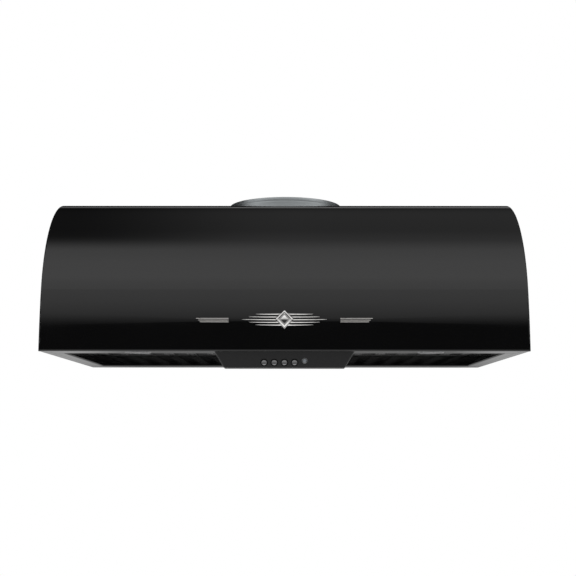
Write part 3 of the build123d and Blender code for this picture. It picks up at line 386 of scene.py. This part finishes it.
def galvanised():
    """Zinc coated sheet: crystals of slightly different greys under a dull bloom."""
    sheet = Surface("galvanised_steel", (0.46, 0.47, 0.48), 0.34, 0.95)
    crystals = sheet.cells(150)
    bloom = sheet.noise(45, detail=5)
    both = maths(sheet.tree, "ADD", maths(sheet.tree, "MULTIPLY", crystals, 0.55),
                 maths(sheet.tree, "MULTIPLY", bloom, 0.45))
    sheet.tint(both, 0.84, 1.1, 0.25, 0.75)
    sheet.rough(both, 0.26, 0.46)
    sheet.bump(crystals, 0.02 * MM, 0.35)
    return sheet.material


def chrome(name, color, roughness):
    """Bright plating with a breath of haze and hairline scratches."""
    plating = Surface(name, color, roughness, 1.0)
    plating.tint(plating.noise(160, detail=4), 0.94, 1.04)
    plating.rough(plating.noise(45, detail=6), roughness * 0.7, roughness * 1.8)
    plating.bump(plating.noise(1.0, (90, 1600, 1600), detail=2), 0.004 * MM, 0.3)
    return plating.material


def motor_paint():
    """Semi-gloss dark machine enamel, thicker and duller in patches."""
    paint = Surface("motor_paint", (0.05, 0.05, 0.055), 0.32)
    paint.tint(paint.noise(40, detail=5), 0.8, 1.25)
    paint.rough(paint.noise(25, detail=5), 0.26, 0.42)
    paint.bump(paint.noise(700, detail=2), 0.05 * MM, 0.4)
    worn = maths(paint.tree, "MULTIPLY", paint.edges(0.5 * MM), 0.5)
    paint.blend_color(worn, (*paint.color, 1), (0.2, 0.2, 0.2))
    return paint.material


def rubber(name, color, grain, depth):
    """Soft black rubber or foam with fine pores."""
    soft = Surface(name, color, 0.72, Sheen_Weight=0.15)
    soft.tint(soft.noise(120, detail=4), 0.8, 1.3)
    soft.rough(soft.noise(80), 0.62, 0.82)
    soft.bump(soft.cells(grain, output="Distance"), depth, 0.6)
    return soft.material


def lamp_glass():
    """Grey frosted diffuser over the unlit lamp, with a soft frost that scatters light."""
    glass = Surface("lamp_glass", (0.42, 0.425, 0.42), 0.38, IOR=1.5, Transmission_Weight=0.35)
    glass.tint(glass.noise(60, detail=3), 0.95, 1.02)
    glass.rough(glass.noise(400), 0.32, 0.45)
    glass.bump(glass.noise(1400, detail=3), 0.05 * MM, 0.5)
    return glass.material


materials = {
    "gloss_black_enamel": enamel(),
    "gloss_black_plastic": gloss_plastic(),
    "black_plastic": matte_plastic("black_plastic", (0.02, 0.02, 0.02), 1800),
    "indicator_glow": indicator(),
    "lamp_metal": brushed("lamp_metal", (0.6, 0.6, 0.61), 0.24, (900, 60, 900), 0.06),
    "lamp_glass": lamp_glass(),
    "duct_metal": brushed("duct_metal", (0.4, 0.425, 0.435), 0.4, (14, 14, 900), 0.07),
    "rod_steel": brushed("rod_steel", (0.5, 0.5, 0.51), 0.22, (12, 1200, 1200), 0.1),
    "gasket_rubber": rubber("gasket_rubber", (0.03, 0.03, 0.03), 900, 0.3 * MM),
    "galvanised_steel": galvanised(),
    "motor_paint": motor_paint(),
    "capacitor_plastic": matte_plastic("capacitor_plastic", (0.7, 0.69, 0.66), 1200),
    "cable_rubber": rubber("cable_rubber", (0.022, 0.022, 0.023), 2500, 0.05 * MM),
    "chrome": chrome("chrome", (0.86, 0.85, 0.84), 0.07),
    # Filter steel set far darker than bare steel: painted shade for the dark underside where the filters sit.
    "filter_steel": brushed("filter_steel", (0.2, 0.2, 0.2), 0.27, (1100, 10, 1100), 0.14),
    "screw_zinc": brushed("screw_zinc", (0.52, 0.52, 0.5), 0.3, (400, 400, 400), 0.12),
}
satin_trim = chrome("satin_trim", (0.72, 0.7, 0.68), 0.12)
# Chrome set far darker than plating: painted shade for the buttons and the indicator bezel in the pod's recess.
shade_darkened_chrome = chrome("shade_darkened_chrome", (0.2, 0.2, 0.203), 0.08)

node_slot = {entry["node"]: entry["material_slot"] for entry in frame["record"]["subparts"]}
for node_name, node_object in frame["nodes"].items():
    node_object.data.materials.clear()
    node_object.data.materials.append(materials[node_slot[node_name]])

# ------------------------------------------------------------------------------- mesh building


def node_points(name):
    """Return the corner points of a CAD node."""
    obj = frame["nodes"][name]
    return [obj.matrix_world @ vertex.co for vertex in obj.data.vertices]


def middle(points):
    """Return the middle of the box round some points."""
    return Vector([(min(axis) + max(axis)) / 2 for axis in zip(*points)])


def end_points(name, direction, depth=0.01 * MM):
    """Return a node's points at its far end along a direction."""
    points = node_points(name)
    reach = max(point.dot(direction) for point in points)
    return [point for point in points if point.dot(direction) > reach - depth]


def off_axis(point, tip, direction):
    """Return a point's distance from the axis through tip along a direction."""
    return (point - tip - direction * (point - tip).dot(direction)).length


def facing(name):
    """Return the direction that most of a flat ornament's front faces, out of the hood's front."""
    total = Vector()
    for polygon in frame["nodes"][name].data.polygons:
        if polygon.normal.y < -0.95:
            total += polygon.normal * polygon.area
    return total.normalized()


def basis(origin, outward):
    """Return the placing of local X right, Y up the face and Z outward."""
    across = Vector((1, 0, 0))
    up = outward.cross(across).normalized()
    turn = Matrix((across, up, outward)).transposed().to_4x4()
    return Matrix.Translation(origin) @ turn


def finish_piece(name, bm, material, body, place=None, crease=32):
    """Turn a bmesh into a piece that rides a body, with sharp edges kept above the crease angle."""
    if place is not None:
        bmesh.ops.transform(bm, matrix=place, verts=bm.verts)
    bmesh.ops.recalc_face_normals(bm, faces=bm.faces)
    mesh = bpy.data.meshes.new(name)
    bm.to_mesh(mesh)
    bm.free()
    for polygon in mesh.polygons:
        polygon.use_smooth = True
    mesh.set_sharp_from_angle(angle=radians(crease))
    mesh.materials.append(material)
    piece = bpy.data.objects.new(name, mesh)
    bpy.context.scene.collection.objects.link(piece)
    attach(piece, body)
    return piece


def lathe(bm, profile, steps, centre=(0, 0)):
    """Turn a closed profile of (radius, height) round a local Z axis; radius 0 makes a pole."""
    rings = []
    for radius, height in profile:
        if radius == 0:
            rings.append([bm.verts.new((centre[0], centre[1], height))] * steps)
            continue
        ring = []
        for i in range(steps):
            angle = 2 * pi * i / steps
            x = centre[0] + radius * cos(angle)
            y = centre[1] + radius * sin(angle)
            ring.append(bm.verts.new((x, y, height)))
        rings.append(ring)
    pairs = list(zip(rings, rings[1:]))
    if profile[0][0] != 0:
        pairs.append((rings[-1], rings[0]))
    for ring, above in pairs:
        for i in range(steps):
            j = (i + 1) % steps
            corners = list(dict.fromkeys((ring[i], ring[j], above[j], above[i])))
            bm.faces.new(corners)


def arc(centre, radius, start, stop, count):
    """Return points of an arc in a profile, with its angles in degrees."""
    angles = [radians(start + (stop - start) * i / count) for i in range(count + 1)]
    return [(centre[0] + radius * cos(angle), centre[1] + radius * sin(angle)) for angle in angles]


def skin(bm, sections):
    """Join equal closed sections by faces and close both ends."""
    rows = [[bm.verts.new(point) for point in section] for section in sections]
    for row, following in zip(rows, rows[1:]):
        for i in range(len(row)):
            j = (i + 1) % len(row)
            bm.faces.new((row[i], row[j], following[j], following[i]))
    bm.faces.new(rows[0])
    bm.faces.new(rows[-1])


# ---------------------------------------------------------------------------------- duct collar

FLANGE = 12 * MM
COLLAR_SHEET = 1.0 * MM
FOOT_R = 2 * MM  # outer radius of the flange's bend
BEAD = 0.1 * MM  # how far the stiffening bead stands in
BEAD_DROP = 8 * MM  # lower edge of the bead below the collar's top
BEAD_WIDTH = 3 * MM
SEAM_ANGLES = (60, 69)  # degrees
SEAM_RISE = 0.45 * MM
SEAM_SUNK = 0.1 * MM  # how far the seam's strip reaches into the wall
COLLAR_STEPS = 180


def make_collar():
    low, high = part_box("duct_collar")
    flange_r = (high.x - low.x) / 2
    wall_r = flange_r - FLANGE
    sheet = COLLAR_SHEET
    foot = arc((wall_r + FOOT_R, sheet + FOOT_R), FOOT_R, 270, 180, 8)
    bead = []
    for i in range(13):
        depth = BEAD * (0.5 - 0.5 * cos(2 * pi * i / 12))
        bead.append((wall_r - depth, high.z - BEAD_DROP + BEAD_WIDTH * i / 12))
    rim = arc((wall_r - sheet / 2, high.z - sheet / 2), sheet / 2, 0, 180, 8)
    inner_bead = [(radius - sheet, height) for radius, height in reversed(bead)]
    inner_foot = arc((wall_r + FOOT_R, FOOT_R + sheet), FOOT_R + sheet, 180, 270, 8)
    profile = [(flange_r, low.z), (flange_r, sheet), *foot, *bead, *rim, *inner_bead, *inner_foot]
    bm = bmesh.new()
    lathe(bm, profile, COLLAR_STEPS, middle([low, high]).xy)
    piece = finish_piece("collar_pipe", bm, materials["duct_metal"], "canopy")
    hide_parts("duct_collar")

    seam_from, seam_to = map(radians, SEAM_ANGLES)
    seam_low, seam_high = sheet + FOOT_R + 0.5 * MM, high.z - 1.2 * MM
    bm = bmesh.new()
    sections = []
    for i in range(9):
        angle = seam_from + (seam_to - seam_from) * i / 8
        lift = SEAM_RISE * min(1, 4 * min(i, 8 - i) / 8)
        rows = ((wall_r - SEAM_SUNK, seam_low), (wall_r + lift, seam_low),
                (wall_r + lift, seam_high), (wall_r - SEAM_SUNK, seam_high))
        sections.append([(radius * cos(angle), radius * sin(angle), height) for radius, height in rows])
    skin(bm, sections)
    finish_piece("collar_seam", bm, materials["duct_metal"], "canopy", crease=50)


make_collar()

# ------------------------------------------------------------------------------------- buttons

DISH_SLOPE = 46.0  # degrees of the cap's dish at its rim
DISH_SHARE = 0.86  # dish radius as a share of the cap's
DISH_ANGLES = (0, 6, 12, 18, 24, 30, 36, 41)  # degrees at which the dish has points
CAP_DEPTH = 4.2 * MM
CAP_STEPS = 64
STEM_R = 2.5 * MM  # 0.1 mm more than the CAD stem


def make_button(name):
    """A dished cap with a rolled edge on its stem."""
    direction = Vector(next(j["axis"] for j in frame["joints"] if j["child"] == name)) * -1
    tip = middle(end_points(name, direction))
    points = node_points(name)
    cap_r = max(off_axis(point, tip, direction) for point in points)
    depth = max((tip - point).dot(direction) for point in points)
    dish_r = cap_r * DISH_SHARE
    bowl_r = dish_r / sin(radians(DISH_SLOPE))
    rim_z = bowl_r * cos(radians(DISH_SLOPE))
    slopes = [radians(degree) for degree in DISH_ANGLES]
    dish = [(bowl_r * sin(slope), rim_z - bowl_r * cos(slope)) for slope in slopes]
    edge = (cap_r - dish_r) / 2
    roll = arc((cap_r - edge, -edge), edge, 135, 0, 9)
    profile = [*dish, *roll, (cap_r, -CAP_DEPTH), (STEM_R, -CAP_DEPTH), (STEM_R, -depth), (0, -depth)]
    bm = bmesh.new()
    lathe(bm, profile, CAP_STEPS)
    # The cap's chrome is darkened as painted shade.
    piece = finish_piece(name + "_cap", bm, shade_darkened_chrome, name, basis(tip, direction))
    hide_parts(name)
    return direction


for button_name in ("fan_off_button", "fan_low_button", "fan_high_button", "light_button"):
    pod_outward = make_button(button_name)


LENS_R = 2.9 * MM
LENS_RISE = 1.4 * MM
LENS_DEPTH = 6 * MM
RING_EDGE = 0.6 * MM  # radius of the bezel's outer edge
RING_GAP = 0.1 * MM  # between the bezel and the lens


def make_indicator():
    """A bezel in chrome darkened as painted shade, and a domed lens."""
    tip = middle(end_points("indicator_lens", pod_outward))
    ring_points = node_points("indicator_bezel")
    ring_r = max(off_axis(p, tip, pod_outward) for p in ring_points)
    ring_top = max((p - tip).dot(pod_outward) for p in ring_points)
    ring_low = min((p - tip).dot(pod_outward) for p in ring_points)
    edge = arc((ring_r - RING_EDGE, ring_top - RING_EDGE), RING_EDGE, 0, 90, 6)
    hole_r = LENS_R + RING_GAP
    ring = [(ring_r, ring_low), *edge, (hole_r, ring_top - RING_EDGE - RING_GAP), (hole_r, ring_low)]
    bm = bmesh.new()
    lathe(bm, ring, CAP_STEPS)
    # The bezel's chrome is darkened as painted shade.
    piece = finish_piece("indicator_ring", bm, shade_darkened_chrome, "canopy", basis(tip, pod_outward))
    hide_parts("indicator_bezel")
    turns = [radians(degree) for degree in range(0, 91, 10)]
    dome = [(LENS_R * sin(turn), -LENS_RISE * (1 - cos(turn))) for turn in turns]
    bm = bmesh.new()
    lathe(bm, [*dome, (LENS_R, -LENS_DEPTH), (0, -LENS_DEPTH)], CAP_STEPS)
    piece = finish_piece(
        "indicator_dome", bm, materials["indicator_glow"], "canopy", basis(tip, pod_outward)
    )
    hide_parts("indicator_lens")


make_indicator()

# --------------------------------------------------------------------------------- front trim

BAR_RISE = 1.5 * MM  # crown of a bar above its foot
BAR_SHARE = 0.56  # a bar's height as a share of the pitch
BAR_DEPTH = 2.0 * MM  # foot of a bar behind its crown
BAR_END = 0.3 * MM  # length over which a bar's ends round off
BAR_END_SHARE = 0.8
BAR_SLANT = 0.9
TRIM_STUD_DEPTH = 1.9 * MM
BACKING_INSET = 0.3 * MM
BACKING_BACK, BACKING_FRONT = -2.2 * MM, -1.75 * MM


def add_studs(bm, name, outward, to_local, depth):
    """Add the round studs that hold an ornament, where its CAD node has them."""
    ends = sorted((to_local @ point for point in end_points(name, -outward)), key=lambda point: point.x)
    groups = [[ends[0]]]
    for before, point in zip(ends, ends[1:]):
        if point.x - before.x > 5 * MM:
            groups.append([])
        groups[-1].append(point)
    for group in groups:
        centre = middle(group)
        reach = max(hypot(p.x - centre.x, p.y - centre.y) for p in group)
        lathe(bm, [(0, centre.z), (reach, centre.z), (reach, -depth), (0, -depth)], 24, (centre.x, centre.y))


def make_trim(name, side):
    """Three half-round bars on a dark backing, their outer ends cut on one slant."""
    outward = facing(name)
    place = basis(middle(end_points(name, outward)), outward)
    to_local = place.inverted()
    front = [to_local @ point for point in end_points(name, outward)]
    top, bottom = max(p.y for p in front), min(p.y for p in front)
    pitch = (top - bottom) / 3.0
    inner = min(p.x * side for p in front)
    bm = bmesh.new()
    half = pitch * BAR_SHARE / 2
    for row in range(3):
        level = bottom + pitch * (row + 0.5)
        in_row = [p.x * side for p in front if abs(p.y - level) < pitch / 2]
        outer = max(in_row)
        section = arc((0, 0), 1.0, 0, 180, 12)
        sections = []
        ends = ((inner, 0), (inner + BAR_END, 0), (outer - BAR_END, BAR_SLANT), (outer, BAR_SLANT))
        for end, slant in ends:
            shrink = BAR_END_SHARE if end in (inner, outer) else 1.0
            points = []
            for across, rise in section:
                y = level + half * across * shrink
                x = side * (end + min(0, slant * (y - level - half)))
                points.append((x, y, BAR_RISE * (rise * shrink - 1)))
            points.append((points[-1][0], points[-1][1], -BAR_DEPTH))
            points.append((points[0][0], points[0][1], -BAR_DEPTH))
            sections.append(points)
        skin(bm, sections)
    add_studs(bm, name, outward, to_local, TRIM_STUD_DEPTH)
    piece = finish_piece(name + "_chrome", bm, satin_trim, "canopy", place, 40)
    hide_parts(name)
    bm = bmesh.new()
    outer_low, outer_high = outer - 9 * MM, outer - 3 * MM
    low_y, high_y = bottom + BACKING_INSET, top - BACKING_INSET
    start = inner + 0.4 * MM
    outline = ((start, low_y), (outer_low, low_y), (outer_high, high_y), (start, high_y))
    skin(bm, [[(side * x, y, z) for x, y in outline] for z in (BACKING_BACK, BACKING_FRONT)])
    finish_piece(name + "_backing", bm, materials["black_plastic"], "canopy", place)


make_trim("left_trim_bars", -1)
make_trim("right_trim_bars", 1)

LOZENGE = ((1.0, -3.0), (1.0, -1.4), (0.93, -0.5), (0.84, -0.2), (0.7, -0.5), (0.64, -1.3))  # size, height
GEM = ((0.5, -1.3), (0.46, -0.9), (0.0, 0.0))
BADGE_FOOT = -3.0 * MM
BADGE_STUD_DEPTH = 2.9 * MM
WING_HALF = 1.25 * MM  # half height of a wing at its root
WING_TIP = 0.12 * MM  # half height at its tip
WING_RIDGE = -1.2 * MM
WING_FALL = 0.8 * MM  # how much the ridge drops towards the tip


def make_badge():
    """A faceted lozenge with five roof-shaped wings on each side."""
    name = "badge"
    outward = facing(name)
    place = basis(middle(end_points(name, outward)), outward)
    to_local = place.inverted()
    front = [to_local @ point for point in end_points(name, outward)]
    half_x, half_y = max(p.x for p in front), max(p.y for p in front)
    everything = [to_local @ point for point in node_points(name)]
    wing_levels = sorted({round(p.y / MM, 1) * MM for p in everything if abs(p.x) > half_x * 1.6})
    bm = bmesh.new()
    corners = ((1, 0), (0, 1), (-1, 0), (0, -1))

    def loop(size, height):
        return [bm.verts.new((x * half_x * size, y * half_y * size, height * MM)) for x, y in corners]

    rings = [loop(size, height) for size, height in LOZENGE]
    gem = [loop(size, height) for size, height in GEM[:-1]]
    apex = bm.verts.new((0, 0, GEM[-1][1] * MM))
    for ring, above in [*zip(rings, rings[1:]), (rings[-1], gem[0]), *zip(gem, gem[1:])]:
        for i in range(4):
            bm.faces.new((ring[i], ring[i - 3], above[i - 3], above[i]))
    for i in range(4):
        bm.faces.new((gem[-1][i], gem[-1][i - 3], apex))
    bm.faces.new(rings[0])
    for level in wing_levels:
        reach = max(abs(p.x) for p in everything if abs(p.y - level) < 0.2 * MM)
        for side in (-1, 1):
            inner_x = half_x * max(0.0, 0.9 - abs(level) / half_y)
            sections = []
            for i in range(13):
                share = i / 12
                x = inner_x + (reach - inner_x) * share
                half = WING_HALF * (1 - share) ** 0.7 + WING_TIP
                ridge = WING_RIDGE - WING_FALL * share
                eave = ridge - 0.9 * half
                sections.append([
                    (side * x, level - half, BADGE_FOOT), (side * x, level - half, eave),
                    (side * x, level, ridge), (side * x, level + half, eave),
                    (side * x, level + half, BADGE_FOOT),
                ])
            skin(bm, sections)
    add_studs(bm, name, outward, to_local, BADGE_STUD_DEPTH)
    piece = finish_piece("badge_ornament", bm, materials["chrome"], "canopy", place, 20)
    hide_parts(name)


make_badge()

# ------------------------------------------------------------------------------ lamp diffusers


RIDGES = 12
RIDGE_HEIGHT = 0.16 * MM
DIFFUSER_LIFT = 0.02 * MM  # above the CAD lens's lowest face
DIFFUSER_BOWL = 0.5 * MM
DIFFUSER_STEPS = 48


def make_diffuser(side):
    """A moulded lamp lens with fine rings."""
    name = side + "_lamp_lens"
    low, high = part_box(name)
    radius = (high.x - low.x) / 2
    rings = []
    for i in range(DIFFUSER_STEPS + 1):
        share = i / DIFFUSER_STEPS
        ridge = RIDGE_HEIGHT * (0.5 - 0.5 * cos(2 * pi * RIDGES * share))
        rings.append((radius * share, low.z + DIFFUSER_LIFT + ridge + DIFFUSER_BOWL * share**2))
    profile = [*rings, (radius, high.z), (0, high.z)]
    bm = bmesh.new()
    lathe(bm, profile, 64, middle([low, high]).xy)
    glass = materials["lamp_glass"]
    piece = finish_piece(side + "_lamp_diffuser", bm, glass, "canopy", crease=50)
    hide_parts(name)


make_diffuser("left")
make_diffuser("right")

# -------------------------------------------------------------------------------------- screws

HEAD_HEIGHT = 2.2 * MM
CROSS_ARM = 2.0 * MM  # half length of the driver cross
CROSS_HALF = 0.45 * MM
CROSS_DEPTH = 1.3 * MM
CROSS_FLOOR = 0.55  # size of the recess's floor as a share of its mouth
CROSS_SUNK = 0.05 * MM
CROWN_ANGLES = (15, 30, 45, 60)  # degrees
CROWN_POWER = 0.55  # under 1 it flattens the head's crown
SHANK_SHARE = 0.54  # shank radius as a share of the head's
SCREW_STEPS = 40


def solids(name):
    """Return the boxes of a node's separate solids as (low, high) corners."""
    bm = bmesh.new()
    bm.from_mesh(frame["nodes"][name].data)
    bmesh.ops.remove_doubles(bm, verts=bm.verts, dist=0.001 * MM)
    boxes = []
    left = set(bm.verts)
    while left:
        group = [left.pop()]
        for vertex in group:
            for edge in vertex.link_edges:
                other = edge.other_vert(vertex)
                if other in left:
                    left.remove(other)
                    group.append(other)
        axes = list(zip(*(vertex.co for vertex in group)))
        boxes.append((Vector([min(a) for a in axes]), Vector([max(a) for a in axes])))
    bm.free()
    return boxes


def add_screw(bm, centre, head_r, shank_r, top, bottom):
    """Add a pan-head screw with a cross recess, its axis upright."""
    seat = top - HEAD_HEIGHT
    turns = [radians(degree) for degree in CROWN_ANGLES]
    crown = [(head_r * cos(turn) ** CROWN_POWER, seat + HEAD_HEIGHT * sin(turn)) for turn in turns]
    steps = SCREW_STEPS
    around = [(cos(2 * pi * i / steps), sin(2 * pi * i / steps)) for i in range(steps)]
    rings = []
    for radius, height in [(shank_r, bottom), (shank_r, seat), (head_r, seat), *crown]:
        rings.append([
            bm.verts.new((centre.x + radius * x, centre.y + radius * y, height)) for x, y in around
        ])
    for ring, above in zip(rings, rings[1:]):
        for i in range(steps):
            bm.faces.new((ring[i], ring[i - steps + 1], above[i - steps + 1], above[i]))
    bm.faces.new(rings[0])
    quarter = [(CROSS_ARM, -CROSS_HALF), (CROSS_ARM, CROSS_HALF), (CROSS_HALF, CROSS_HALF)]
    outline = []
    for turn in range(4):
        for x, y in quarter:
            for _ in range(turn):
                x, y = -y, x
            outline.append((x, y))
    level = top - CROSS_SUNK
    mouth = [bm.verts.new((centre.x + x, centre.y + y, level)) for x, y in outline]
    pit = []
    for x, y in outline:
        place = (centre.x + CROSS_FLOOR * x, centre.y + CROSS_FLOOR * y, level - CROSS_DEPTH)
        pit.append(bm.verts.new(place))
    rim_edges = [bm.edges.get((rings[-1][i], rings[-1][i - steps + 1])) for i in range(steps)]
    mouth_edges = [bm.edges.new((mouth[i], mouth[i - len(mouth) + 1])) for i in range(len(mouth))]
    bmesh.ops.triangle_fill(bm, edges=rim_edges + mouth_edges, use_beauty=True)
    for i in range(len(mouth)):
        j = i - len(mouth) + 1
        bm.faces.new((mouth[i], mouth[j], pit[j], pit[i]))
    bm.faces.new(pit)


def make_screws(name):
    """Replace a node's group of screws with detailed ones at the same places."""
    bm = bmesh.new()
    for low, high in solids(name):
        head_r = (high.x - low.x) / 2
        add_screw(bm, middle([low, high]), head_r, head_r * SHANK_SHARE, high.z, low.z)
    zinc = materials["screw_zinc"]
    piece = finish_piece(name + "_detailed", bm, zinc, "canopy", crease=35)
    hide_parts(name)


for screw_name in ("collar_screws", "blower_screws", "top_screws", "wiring_screws", "control_screws"):
    make_screws(screw_name)
